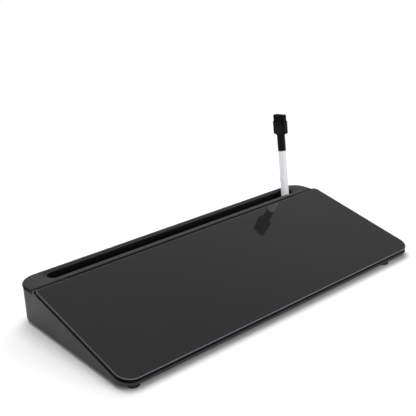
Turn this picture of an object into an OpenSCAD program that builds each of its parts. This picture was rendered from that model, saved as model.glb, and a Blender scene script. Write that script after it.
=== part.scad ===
// Desk-top glass whiteboard organiser.
// A wedge tray with storage compartments, a hinged glass lid to write on, and a rail behind it
// with a long slot for a phone or tablet and a socket for a capped marker.
// Frame: X runs along the rail, Y runs from the front edge to the rail, Z is up, feet on Z = 0.

/* [Glass lid] */
// Width of the glass, side to side
glass_w = 406; // [380:2:430]
// Length of the glass down its slope
glass_len = 152.4; // [142:0.2:164]
// Thickness of the glass
glass_t = 3; // [2.6:0.1:3.6]
// Slope of the glass above the desk, in degrees
tilt = 13.2; // [12.4:0.2:14.4]
// Radius of the two front corners of the glass
glass_front_r = 12; // [8:0.5:18]
// Radius of the two rear corners of the glass
glass_rear_r = 3; // [2:0.5:5]
// Bevel ground along every edge of the glass
edge_bevel = 0.5; // [0.3:0.1:0.8]
// Thickness of the steel sheet bonded behind the glass
sheet_t = 0.4; // [0.3:0.05:0.6]
// Margin of the steel sheet from the glass edge
sheet_inset = 7; // [5:0.5:10]
// Diameter of the clear bumpers
bumper_d = 13; // [10:0.5:15]
// Thickness of the clear bumpers
bumper_t = 1.3; // [1:0.1:1.8]
// Distance of each bumper centre from the glass edges
bumper_inset = 13; // [11:0.5:16]

/* [Base] */
// Height of the rear top edge of the glass above the desk
deck_h = 45; // [44:0.5:52]
// Thickness of the outer walls and of the wall under the rail
wall_t = 2.2; // [1.8:0.1:2.6]
// Thickness of the floor
floor_t = 2; // [1.6:0.1:2.4]
// Radius of the two rear corners of the base
base_rear_r = 20; // [14:1:26]
// Play between a bumper and the post that it lands on
land_gap = 0.05; // [0.02:0.01:0.2]
// Depth of the front row of compartments
front_row = 76; // [60:1:86]
// Number of compartments in the front row
front_cells = 6; // [3:1:8]
// Share of the width where the first divider of the rear row stands
split_a = 0.36; // [0.26:0.02:0.42]
// Share of the width where the second divider of the rear row stands
split_b = 0.66; // [0.58:0.02:0.74]
// Thickness of the dividers
divider_t = 1.8; // [1.4:0.1:2.4]
// How far the divider tops stay below the rim
divider_drop = 2; // [1.4:0.1:3]
// Corner radius inside the compartments
cell_r = 3; // [2:0.5:5]

/* [Feet] */
// Diameter of the feet
foot_d = 12; // [9:0.5:14]
// How far the feet stand out below the base
foot_h = 2.5; // [2:0.1:3.2]
// How deep the feet sit in their recesses
foot_sunk = 1; // [0.6:0.1:1.2]

/* [Rail cover] */
// Gap between the rear top edge of the glass and the cover
rail_gap = 6.3; // [6:0.1:8]
// Depth of the cover, front to rear
rail_d = 34.1; // [32:0.1:40]
// How far the top of the cover lies below the rear top edge of the glass
rail_drop = 2.3; // [2:0.1:3]
// Thickness of the cover plate
plate_t = 3.2; // [2.8:0.1:4]
// Rounding along the top edge of the cover
plate_round = 2.6; // [1.6:0.1:2.8]
// How far the cover overhangs the base walls
overhang = 0.6; // [0.3:0.1:0.9]
// Width of the device slot
slot_w = 15; // [11:0.5:17]
// Depth of the device slot
slot_deep = 22.5; // [16:0.5:24]
// Distance of the slot centre line behind the front edge of the cover
slot_back = 17.7; // [17:0.1:18.6]
// Distance of the slot's round end centre from the end of the cover
slot_start = 36.2; // [26:0.2:60]
// Width of the sunk ring round the slot
ring_w = 2.8; // [1:0.1:3.4]
// Thickness of the slot's walls and floor
slot_wall = 1.8; // [1.4:0.1:2.2]
// Diameter of the marker hole
hole_d = 18; // [17:0.5:20]
// Depth of the marker hole before it narrows to the socket
hole_deep = 9; // [6:0.5:12]
// Distance of the marker hole centre from the end of the cover
hole_in = 33.7; // [28:0.1:44]

/* [Screws] */
// Shank diameter of the cover screws
screw_d = 2.9; // [2.4:0.1:3.2]
// Head diameter of the cover screws
head_d = 6; // [5:0.1:6.6]
// Distance of the inner screws from the middle
screw_in = 50; // [40:1:70]
// Distance of the outer screws from the middle
screw_out = 150; // [120:1:154]

/* [Hinge] */
// Distance of the hinge axis behind the rear edge of the glass, along the slope
hinge_back = 2.5; // [2.5:0.1:3]
// Distance of the hinge axis below the top face of the glass
hinge_drop = 3.7; // [3.7:0.1:4.2]
// Diameter of the hinge barrel on each bracket
barrel_d = 4.7; // [4.3:0.1:4.8]
// Diameter of the hinge pins
pin_d = 2.5; // [2:0.1:2.6]
// Width of each hinge bracket
bracket_w = 34; // [24:1:44]
// Length of each bracket's bonded plate down the slope
bracket_len = 22; // [16:0.5:28]
// Thickness of the bracket plate
bracket_t = 1.6; // [1.2:0.1:2]
// Thickness of the ear that carries each pin
ear_t = 4.1; // [3.4:0.1:5]

/* [Marker] */
// Diameter of the marker barrel
marker_d = 10; // [9:0.1:10.6]
// Length of the marker barrel above the cover
marker_len = 54.5; // [40:0.5:70]
// Depth of the socket below the top of the cover
socket_deep = 25; // [20:0.5:26]
// Backward lean of the marker, in degrees
lean = 5.3; // [3:0.1:6]
// Bore of the marker barrel
ink_d = 7; // [6:0.1:7.2]
// Length of the round neck of the cap
cap_neck = 20.4; // [18:0.2:26]
// Turn of the eraser about the marker's axis, in degrees
eraser_turn = 7; // [0:1:12]
// Width of the eraser holder
holder_w = 8.5; // [8:0.1:10.4]
// Depth of the eraser holder, front to rear
holder_d = 18; // [15:0.5:20]
// Height of the eraser holder
holder_h = 17.5; // [14:0.5:22]
// Height of the felt above its holder
felt_h = 8; // [5:0.5:10]

/* [Hidden] */
// Play of the marker in its socket, on the radius
socket_gap = 0.2;
// Play of the hinge pins in the ears, on the radius
pin_gap = 0.05;
// Play of the cap on the marker's neck, on the radius
cap_gap = 0.05;
// Height of the shadow groove between cover and base
groove_h = 0.8;
// Depth of the shadow groove, from the base's outer face
groove_d = 1.1;
// Side gap between a bracket and its ear
ear_gap = 0.5;
// Gap between the outer end of each pin and the ear's face
pin_inset = 0.3;
// Depth of the sunk ring round the slot
ring_deep = 0.6;
// Inward set of the base's front wall from the edge of the glass
front_set = 1;
// Outward set of the base's side walls from the edge of the glass
side_set = 0.6;
// Amount by which cutting shapes pass a face
eps = 0.5;

glass_run = glass_len * cos(tilt);
cap_len = cap_neck + holder_h;
holder_r = 2;
holder_reach = (holder_d / 2 - holder_r) * cos(eraser_turn) + (holder_w / 2 - holder_r) * sin(eraser_turn) + holder_r;
cap_rear = rail_gap + slot_back + (marker_len + cap_len) * sin(lean) + holder_reach * cos(lean);
rear_run = max(rail_gap + rail_d, cap_rear);
glass_y = (glass_run - rear_run) / 2;

base_w = glass_w + 2 * side_set;
cover_w = base_w + 2 * overhang;
base_front = glass_y - glass_run + front_set;
cover_front = glass_y + rail_gap;
cover_rear = cover_front + rail_d;
base_rear = cover_rear - overhang;
base_front_r = glass_front_r;
step_y = cover_front + overhang;
rim_end = cover_front - 0.1;
rail_z = deck_h - rail_drop;
seat_z = rail_z - plate_t;
floor_z = foot_h + floor_t;
rim_deep = glass_t + bumper_t;
cover_front_r = plate_round + 0.4;
cover_rear_r = base_rear_r + overhang;

cell_front = base_front + wall_t;
cell_mid = cell_front + front_row;
cell_w = base_w - 2 * wall_t;

slot_y = cover_front + slot_back;
slot_x = slot_start - cover_w / 2;
hole_x = cover_w / 2 - hole_in;
slot_floor = rail_z - slot_deep;
hole_floor = rail_z - hole_deep;
socket_r = marker_d / 2 + socket_gap;
socket_wall_r = socket_r + slot_wall;
slot_stop = hole_x - socket_wall_r - 2.2 * slot_wall;

foot_front = base_front + foot_d / 2 + 0.8;
foot_rear = base_rear - foot_d;
foot_at = [[base_rear_r - base_w / 2 - foot_d / 2, foot_front], [base_w / 2 - 3.6 * foot_d, foot_front],
    [base_rear_r - base_w / 2, foot_rear], [base_w / 2 - base_rear_r, foot_rear]];

boss_top = floor_z + 5.5;
boss_d = head_d + 3;
hang_d = screw_d + 5;
pilot_d = screw_d + 0.1;
through_d = screw_d + 0.5;
head_t = screw_d * 0.8;
head_seat = foot_h + head_t + 0.7;
screw_tip = slot_floor - slot_wall - 0.8;

ear_in = base_w / 2 - ear_t;
ear_r = hinge_back - 0.45;
bracket_out = ear_in - ear_gap;

neck_d = marker_d - 1.6;
neck_len = 5.5;
flange_t = 0.8;
plug_t = 1.5;
plug_len = 6;
nib_d = 4;
nib_out = 7;
cap_d = marker_d + 0.2;
felt_sunk = 3;
felt_wall = 0.9;

// Height of the plane that lies parallel to the glass, a depth below its top face.
function slope_z(y, deep) = deck_h + (y - glass_y) * tan(tilt) - deep / cos(tilt);

// Flat outline with its own corner radius at the front and at the rear.
module outline(w, y0, y1, rf, rr, fine = 64) {
    x = w / 2;
    polygon([[rf - x, y0], [x - rf, y0], [x, y0 + rf], [x, y1 - rr], [x - rr, y1],
        [rr - x, y1], [-x, y1 - rr], [-x, y0 + rf]]);
    for (side = [-1, 1]) {
        corner(side * x, y0, side, 1, rf, fine);
        corner(side * x, y1, side, -1, rr, fine);
    }
}

// Quarter disc that rounds one corner, given the corner and the way in from it.
module corner(x, y, side, inward, r, fine) {
    intersection() {
        translate([x - side * r, y + inward * r])
            circle(r = r, $fn = fine);
        translate([min(x, x - side * r), min(y, y + inward * r)])
            square(r);
    }
}

// Rectangle with four equal round corners, from its low corner.
module cell(x0, y0, w, d) {
    r = cell_r;
    translate([x0, y0 + r])
        square([w, d - 2 * r]);
    translate([x0 + r, y0])
        square([w - 2 * r, d]);
    for (x = [x0 + r, x0 + w - r], y = [y0 + r, y0 + d - r])
        translate([x, y])
            circle(r = r, $fn = 48);
}

// Side profile drawn in Y and Z, pushed along X from x0 to x1.
module side_prism(x0, x1, points) {
    translate([x0, 0, 0])
        rotate([90, 0, 90])
            linear_extrude(height = x1 - x0)
                polygon(points);
}

// Everything below the plane that lies a depth below the glass.
module under_slope(deep, y0, y1) {
    side_prism(-base_w, base_w, [[y0, 0], [y1, 0], [y1, slope_z(y1, deep)], [y0, slope_z(y0, deep)]]);
}

// Puts its children in the plane of the glass, top face on Z = 0, rear edge on Y = 0.
module on_slope() {
    translate([0, glass_y, deck_h])
        rotate([tilt, 0, 0])
            children();
}

// Puts its children on the marker's axis, with Z = 0 at the top of the cover.
module on_marker() {
    translate([hole_x, slot_y, rail_z])
        rotate([-lean, 0, 0])
            children();
}

// Outline of the base, drawn in by a set amount all round.
module base_outline(inset) {
    outline(base_w - 2 * inset, base_front + inset, base_rear - inset, base_front_r - inset, base_rear_r - inset);
}

// Solid wedge that the tray is cut from, with the level seat of the cover at its rear.
module wedge() {
    intersection() {
        translate([0, 0, foot_h])
            linear_extrude(height = deck_h)
                base_outline(0);
        side_prism(-base_w, base_w, [[base_front - 1, 0], [base_rear + 1, 0], [base_rear + 1, seat_z],
            [rim_end, seat_z], [rim_end, slope_z(rim_end, rim_deep)], [base_front - 1, slope_z(base_front - 1, rim_deep)]]);
    }
}

// The nine compartments seen from above.
module cells() {
    front_w = (cell_w - (front_cells - 1) * divider_t) / front_cells;
    for (i = [0 : front_cells - 1])
        cell(i * (front_w + divider_t) - cell_w / 2, cell_front, front_w, front_row);
    rear_y = cell_mid + divider_t;
    edges = [0, split_a, split_b, 1];
    for (i = [0 : 2]) {
        x0 = edges[i] * cell_w + (i > 0 ? divider_t / 2 : 0);
        x1 = edges[i + 1] * cell_w - (i < 2 ? divider_t / 2 : 0);
        cell(x0 - cell_w / 2, rear_y, x1 - x0, step_y - rear_y);
    }
}

// Posts under the bumpers, cut off just below them.
module bumper_posts() {
    intersection() {
        for (side = [-1, 1])
            translate([side * (glass_w / 2 - bumper_inset), glass_y - (glass_len - bumper_inset) * cos(tilt), foot_h])
                cylinder(d = bumper_d + 1.6, h = deck_h, $fn = 64);
        under_slope(rim_deep + land_gap, base_front, step_y);
        linear_extrude(height = deck_h)
            base_outline(0.1);
    }
}

// Ear on each side wall, round at the top, on the hinge axis.
module ears() {
    for (x = [-base_w / 2, ear_in])
        translate([x, 0, 0])
            on_slope()
                translate([0, hinge_back, -hinge_drop])
                    rotate([90, 0, 90])
                        linear_extrude(height = ear_t) {
                            circle(r = ear_r, $fn = 48);
                            translate([-ear_r, -9])
                                square([2 * ear_r, 9]);
                        }
}

module foot(i) {
    color([0.06, 0.06, 0.06])
        translate(foot_at[i])
            cylinder(d = foot_d, h = foot_h + foot_sunk, $fn = 64);
}

module screw_spots() {
    for (x = [-screw_out, -screw_in, screw_in, screw_out])
        translate([x, slot_y, 0])
            children();
}

module base_tray() {
    color([0.17, 0.17, 0.17])
        difference() {
            union() {
                difference() {
                    wedge();
                    translate([0, 0, floor_z])
                        linear_extrude(height = deck_h)
                            intersection() {
                                base_outline(wall_t);
                                cells();
                            }
                    difference() {
                        translate([0, 0, floor_z])
                            linear_extrude(height = deck_h)
                                intersection() {
                                    base_outline(wall_t);
                                    translate([-base_w, cell_front])
                                        square([2 * base_w, step_y - cell_front]);
                                }
                        under_slope(rim_deep + divider_drop, base_front - eps, step_y + eps);
                    }
                    translate([0, 0, floor_z])
                        linear_extrude(height = deck_h)
                            intersection() {
                                base_outline(wall_t);
                                translate([-base_w, step_y + wall_t])
                                    square([2 * base_w, rail_d]);
                            }
                }
                bumper_posts();
                ears();
                screw_spots()
                    translate([0, 0, foot_h])
                        cylinder(d = boss_d, h = boss_top - foot_h, $fn = 48);
            }
            difference() {
                translate([-base_w, rim_end, seat_z - groove_h])
                    cube([2 * base_w, rail_d + 5, groove_h + eps]);
                translate([0, 0, seat_z - groove_h - eps])
                    linear_extrude(height = groove_h + 3 * eps)
                        base_outline(groove_d);
            }
            on_slope()
                translate([-base_w, hinge_back, -hinge_drop])
                    rotate([0, 90, 0])
                        cylinder(r = pin_d / 2 + pin_gap, h = 2 * base_w, $fn = 48);
            screw_spots() {
                translate([0, 0, foot_h - eps])
                    cylinder(d = head_d + 0.5, h = head_seat - foot_h + eps, $fn = 48);
                cylinder(d = through_d, h = deck_h, $fn = 48);
            }
            for (spot = foot_at)
                translate(spot)
                    cylinder(d = foot_d + 0.2, h = foot_h + foot_sunk, $fn = 64);
        }
}

// One thin layer of the cover plate.
module plate_layer(inset, z) {
    translate([0, 0, z])
        linear_extrude(height = 0.01)
            outline(cover_w - 2 * inset, cover_front + inset, cover_rear - inset,
                cover_front_r - inset, cover_rear_r - inset, 32);
}

// Long slot with a round left end and a square right end.
module slot_shape(grow, right_x) {
    r = slot_w / 2 + grow;
    translate([slot_x, slot_y])
        circle(r = r, $fn = 96);
    translate([slot_x, slot_y - r])
        square([right_x - slot_x, 2 * r]);
}

module rail_cover() {
    color([0.2, 0.2, 0.2])
        difference() {
            union() {
                hull() {
                    plate_layer(0, seat_z);
                    plate_layer(0, rail_z - plate_round);
                    plate_layer(0.134 * plate_round, rail_z - plate_round / 2);
                    plate_layer(0.293 * plate_round, rail_z - 0.293 * plate_round);
                    plate_layer(plate_round / 2, rail_z - 0.134 * plate_round);
                    plate_layer(plate_round, rail_z - 0.01);
                }
                translate([0, 0, slot_floor - slot_wall])
                    linear_extrude(height = seat_z + 1 - slot_floor + slot_wall)
                        slot_shape(slot_wall, slot_stop + slot_wall);
                translate([hole_x, slot_y, hole_floor - slot_wall])
                    cylinder(r = hole_d / 2 + slot_wall, h = seat_z + 1 - hole_floor + slot_wall, $fn = 96);
                on_marker()
                    translate([0, 0, -socket_deep - slot_wall])
                        cylinder(r = socket_wall_r, h = socket_deep, $fn = 96);
                screw_spots()
                    translate([0, 0, boss_top])
                        cylinder(d = hang_d, h = slot_floor - boss_top, $fn = 48);
            }
            translate([0, 0, slot_floor])
                linear_extrude(height = deck_h)
                    slot_shape(0, slot_stop);
            translate([0, 0, hole_floor])
                linear_extrude(height = deck_h)
                    translate([slot_stop - 1, slot_y - slot_w / 2])
                        square([hole_x - slot_stop + 1, slot_w]);
            translate([hole_x, slot_y, hole_floor])
                cylinder(d = hole_d, h = deck_h, $fn = 96);
            translate([0, 0, rail_z - ring_deep])
                linear_extrude(height = deck_h) {
                    slot_shape(ring_w, hole_x);
                    translate([hole_x, slot_y])
                        circle(r = hole_d / 2 + ring_w * 0.6, $fn = 96);
                }
            on_marker()
                translate([0, 0, -socket_deep])
                    cylinder(r = socket_r, h = socket_deep + deck_h, $fn = 96);
            screw_spots()
                translate([0, 0, boss_top - eps])
                    cylinder(d = pilot_d, h = screw_tip - boss_top + eps + 0.4, $fn = 48);
        }
}

module front_left_foot() {
    foot(0);
}

module front_right_foot() {
    foot(1);
}

module rear_left_foot() {
    foot(2);
}

module rear_right_foot() {
    foot(3);
}

module rail_screws() {
    color([0.6, 0.6, 0.62])
        screw_spots()
            difference() {
                union() {
                    translate([0, 0, head_seat - head_t])
                        cylinder(d = head_d, h = head_t, $fn = 48);
                    translate([0, 0, head_seat - 0.5])
                        cylinder(d = screw_d, h = screw_tip - head_seat + 0.5, $fn = 48);
                }
                for (a = [0, 90])
                    rotate([0, 0, a])
                        translate([-head_d * 0.3, -0.4, head_seat - head_t - eps])
                            cube([head_d * 0.6, 0.8, 1.2 + eps]);
            }
}

// One thin layer of the glass.
module glass_layer(inset, z) {
    translate([0, 0, z])
        linear_extrude(height = 0.01)
            outline(glass_w - 2 * inset, inset - glass_len, -inset, glass_front_r - inset, glass_rear_r - inset, 32);
}

module glass_panel() {
    color([0.05, 0.05, 0.06])
        on_slope()
            hull() {
                glass_layer(edge_bevel, -glass_t);
                glass_layer(0, edge_bevel - glass_t);
                glass_layer(0, -edge_bevel);
                glass_layer(edge_bevel, -0.01);
            }
}

module steel_sheet() {
    rear = -bracket_len - 3;
    color([0.5, 0.5, 0.52])
        on_slope()
            translate([0, 0, -glass_t - sheet_t])
                linear_extrude(height = sheet_t)
                    difference() {
                        translate([sheet_inset - glass_w / 2, sheet_inset - glass_len])
                            square([glass_w - 2 * sheet_inset, glass_len - sheet_inset + rear]);
                        for (side = [-1, 1])
                            translate([side * glass_w / 2, -glass_len])
                                square(2 * (bumper_inset + bumper_d / 2 + 1), center = true);
                    }
}

// Bracket that starts at the ear and runs inward.
module bracket() {
    x0 = bracket_out - bracket_w;
    color([0.3, 0.3, 0.3])
        on_slope()
            difference() {
                union() {
                    translate([x0, 2 - bracket_len, -glass_t - bracket_t])
                        cube([bracket_w, bracket_len - 2 + hinge_back, bracket_t]);
                    translate([x0 + 2, -bracket_len, -glass_t - bracket_t])
                        cube([bracket_w - 4, 4, bracket_t]);
                    for (x = [x0 + 2, bracket_out - 2])
                        translate([x, 2 - bracket_len, -glass_t - bracket_t])
                            cylinder(r = 2, h = bracket_t, $fn = 48);
                    translate([x0, hinge_back, -hinge_drop])
                        rotate([0, 90, 0])
                            cylinder(d = barrel_d, h = bracket_w, $fn = 64);
                }
                translate([x0 - eps, hinge_back, -hinge_drop])
                    rotate([0, 90, 0])
                        cylinder(d = pin_d, h = bracket_w + 2 * eps, $fn = 48);
            }
}

module hinge_pin() {
    color([0.7, 0.7, 0.72])
        on_slope()
            translate([bracket_out - bracket_w * 0.7, hinge_back, -hinge_drop])
                rotate([0, 90, 0])
                    cylinder(d = pin_d, h = base_w / 2 - pin_inset - bracket_out + bracket_w * 0.7, $fn = 48);
}

module left_hinge_bracket() {
    mirror([1, 0, 0])
        bracket();
}

module right_hinge_bracket() {
    bracket();
}

module left_hinge_pin() {
    mirror([1, 0, 0])
        hinge_pin();
}

module right_hinge_pin() {
    hinge_pin();
}

module bumper(side) {
    color([0.6, 0.68, 0.75, 0.6])
        on_slope()
            translate([side * (glass_w / 2 - bumper_inset), bumper_inset - glass_len, -glass_t])
                rotate([180, 0, 0])
                    rotate_extrude($fn = 64)
                        polygon([[0, 0], [bumper_d / 2, 0], [bumper_d / 2, bumper_t * 0.6],
                            [bumper_d / 2 - 0.6, bumper_t], [0, bumper_t]]);
}

module left_bumper() {
    bumper(-1);
}

module right_bumper() {
    bumper(1);
}

module marker_barrel() {
    color([0.92, 0.92, 0.93])
        on_marker()
            difference() {
                union() {
                    translate([0, 0, plug_t - socket_deep])
                        cylinder(d = marker_d, h = socket_deep - plug_t + marker_len, $fn = 96);
                    translate([0, 0, marker_len - eps])
                        cylinder(d = neck_d, h = neck_len + eps, $fn = 96);
                }
                translate([0, 0, -socket_deep])
                    cylinder(d = ink_d, h = socket_deep + marker_len + neck_len + eps, $fn = 96);
            }
}

module marker_end_plug() {
    color([0.9, 0.9, 0.91])
        on_marker()
            translate([0, 0, -socket_deep]) {
                cylinder(d = marker_d, h = plug_t, $fn = 96);
                cylinder(d = ink_d, h = plug_t + plug_len, $fn = 64);
            }
}

module ink_reservoir() {
    start = plug_t + plug_len - socket_deep;
    color([0.25, 0.25, 0.28])
        on_marker()
            translate([0, 0, start])
                cylinder(d = ink_d - 0.2, h = marker_len - 4.5 - start, $fn = 64);
}

module nib_holder() {
    top = marker_len + neck_len;
    color([0.85, 0.85, 0.86])
        on_marker()
            difference() {
                union() {
                    translate([0, 0, top - 8])
                        cylinder(d = ink_d, h = 8 + eps, $fn = 64);
                    translate([0, 0, top])
                        cylinder(d = neck_d - 0.4, h = flange_t, $fn = 64);
                    translate([0, 0, top + flange_t])
                        cylinder(d1 = ink_d - 0.6, d2 = nib_d + 0.8, h = 3.2, $fn = 64);
                }
                translate([0, 0, top - 10])
                    cylinder(d = nib_d, h = 20, $fn = 48);
            }
}

module marker_nib() {
    start = marker_len - 4.5;
    stop = marker_len + neck_len + nib_out;
    color([0.04, 0.04, 0.05])
        on_marker() {
            translate([0, 0, start])
                cylinder(d = nib_d, h = stop - start, $fn = 48);
            translate([0, 0, stop])
                cylinder(d1 = nib_d, d2 = nib_d * 0.55, h = 1.6, $fn = 48);
        }
}

// Outline of the eraser holder, drawn in by a set amount.
module holder_outline(inset, r) {
    x = holder_w / 2 - inset;
    y = holder_d / 2 - inset;
    square([2 * (x - r), 2 * y], center = true);
    square([2 * x, 2 * (y - r)], center = true);
    for (sx = [-1, 1], sy = [-1, 1])
        translate([sx * (x - r), sy * (y - r)])
            circle(r = r, $fn = 32);
}

module marker_cap() {
    top = marker_len + cap_neck;
    lip = top + 2;
    color([0.07, 0.07, 0.07])
        on_marker()
            difference() {
                union() {
                    translate([0, 0, marker_len])
                        cylinder(d = cap_d, h = cap_neck, $fn = 96);
                    rotate([0, 0, eraser_turn]) {
                        hull() {
                            translate([0, 0, top - 0.02])
                                cylinder(d = min(cap_d, holder_w + 1.7) - 0.1, h = 0.02, $fn = 32);
                            translate([0, 0, lip])
                                linear_extrude(height = 0.02)
                                    holder_outline(0, holder_r);
                        }
                        translate([0, 0, lip])
                            linear_extrude(height = holder_h - 2)
                                holder_outline(0, holder_r);
                    }
                }
                translate([0, 0, marker_len - eps])
                    cylinder(r = neck_d / 2 + cap_gap, h = neck_len + flange_t + 0.7 + eps, $fn = 96);
                translate([0, 0, marker_len])
                    cylinder(d = ink_d + 0.2, h = neck_len + nib_out + 4, $fn = 64);
                rotate([0, 0, eraser_turn])
                    translate([0, 0, top + holder_h - felt_sunk])
                        linear_extrude(height = felt_sunk + eps)
                            holder_outline(felt_wall, 1.1);
            }
}

module felt_eraser() {
    color([0.1, 0.1, 0.1])
        on_marker()
            rotate([0, 0, eraser_turn])
                translate([0, 0, marker_len + cap_len - felt_sunk])
                    linear_extrude(height = felt_sunk + felt_h)
                        holder_outline(felt_wall, 1.1);
}

base_tray();
rail_cover();
front_left_foot();
front_right_foot();
rear_left_foot();
rear_right_foot();
rail_screws();
glass_panel();
steel_sheet();
left_hinge_bracket();
right_hinge_bracket();
left_hinge_pin();
right_hinge_pin();
left_bumper();
right_bumper();
marker_barrel();
marker_end_plug();
ink_reservoir();
nib_holder();
marker_nib();
marker_cap();
felt_eraser();
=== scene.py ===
"""Looks for a desk-top glass whiteboard organiser.

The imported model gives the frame: every solid, its place and the body it rides on. This script
rounds the tray's corners, makes finer shapes of the rail cover, the glass, the cap and its felt,
gives each piece a procedural finish, and lights the set.
"""

import logging
import math
from dataclasses import dataclass
from enum import Enum
from typing import Iterable, Sequence, Union

import bmesh
import bpy
from mathutils import Matrix, Vector


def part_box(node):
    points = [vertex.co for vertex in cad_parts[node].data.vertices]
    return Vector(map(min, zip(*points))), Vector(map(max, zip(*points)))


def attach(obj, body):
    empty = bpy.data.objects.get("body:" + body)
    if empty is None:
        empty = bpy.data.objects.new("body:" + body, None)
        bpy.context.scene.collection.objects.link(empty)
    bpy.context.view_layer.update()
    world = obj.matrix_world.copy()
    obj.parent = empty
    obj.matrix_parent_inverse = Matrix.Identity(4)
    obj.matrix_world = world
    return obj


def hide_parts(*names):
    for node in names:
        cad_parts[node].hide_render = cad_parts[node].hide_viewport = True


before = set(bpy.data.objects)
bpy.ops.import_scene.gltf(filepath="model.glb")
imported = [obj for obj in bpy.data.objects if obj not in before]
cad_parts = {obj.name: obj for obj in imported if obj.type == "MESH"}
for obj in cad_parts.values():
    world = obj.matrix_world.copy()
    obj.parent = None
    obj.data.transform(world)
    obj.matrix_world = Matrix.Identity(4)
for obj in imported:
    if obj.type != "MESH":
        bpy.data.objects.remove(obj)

LOG = logging.getLogger("organiser")
MM = 0.001
GLASS_IOR = 1.52
GEL_IOR = 1.46
CAD_SHARP = 24.0  # degrees; sharper edges of the solids stay sharp
HALF_ROUND = 0.3  # inset and drop of a rounding's middle ring, as a share of its radius

Point = tuple[float, float]
Place = tuple[float, float, float]
Colour = tuple[float, float, float, float]
Shoulder = tuple[float, float, float]  # share of the holder's outline, inset, height
Ring = list[bmesh.types.BMVert]
Scalar = Union[float, "Wire"]


class Blend(Enum):
    """How two colours are joined."""

    MIX = "MIX"
    MULTIPLY = "MULTIPLY"


class Sum(Enum):
    """What a Math node works out."""

    ADD = "ADD"
    SUBTRACT = "SUBTRACT"
    MULTIPLY = "MULTIPLY"


class Wire:
    """An output socket that can be used in sums."""

    def __init__(self, graph: "ShaderGraph", socket: bpy.types.NodeSocket) -> None:
        """Keeps the socket and the graph that it belongs to."""
        self.graph = graph
        self.socket = socket

    def _sum(self, operation: Sum, *values: Scalar) -> "Wire":
        """Adds a Math node that takes the values in order."""
        return self.graph.add("ShaderNodeMath", {"operation": operation.value}, dict(enumerate(values)))

    def __add__(self, other: Scalar) -> "Wire":
        """Returns self plus other."""
        return self._sum(Sum.ADD, self, other)

    def __radd__(self, other: Scalar) -> "Wire":
        """Returns other plus self."""
        return self._sum(Sum.ADD, other, self)

    def __sub__(self, other: Scalar) -> "Wire":
        """Returns self less other."""
        return self._sum(Sum.SUBTRACT, self, other)

    def __rsub__(self, other: Scalar) -> "Wire":
        """Returns other less self."""
        return self._sum(Sum.SUBTRACT, other, self)

    def __mul__(self, other: Scalar) -> "Wire":
        """Returns self times other."""
        return self._sum(Sum.MULTIPLY, self, other)

    def __rmul__(self, other: Scalar) -> "Wire":
        """Returns other times self."""
        return self._sum(Sum.MULTIPLY, other, self)

    def step(self, low: float, high: float) -> "Wire":
        """Rises smoothly from 0 at low to 1 at high."""
        return self.graph.add(
            "ShaderNodeMapRange",
            {"interpolation_type": "SMOOTHSTEP"},
            {"Value": self, "From Min": low, "From Max": high, "To Min": 0.0, "To Max": 1.0},
        )


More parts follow.
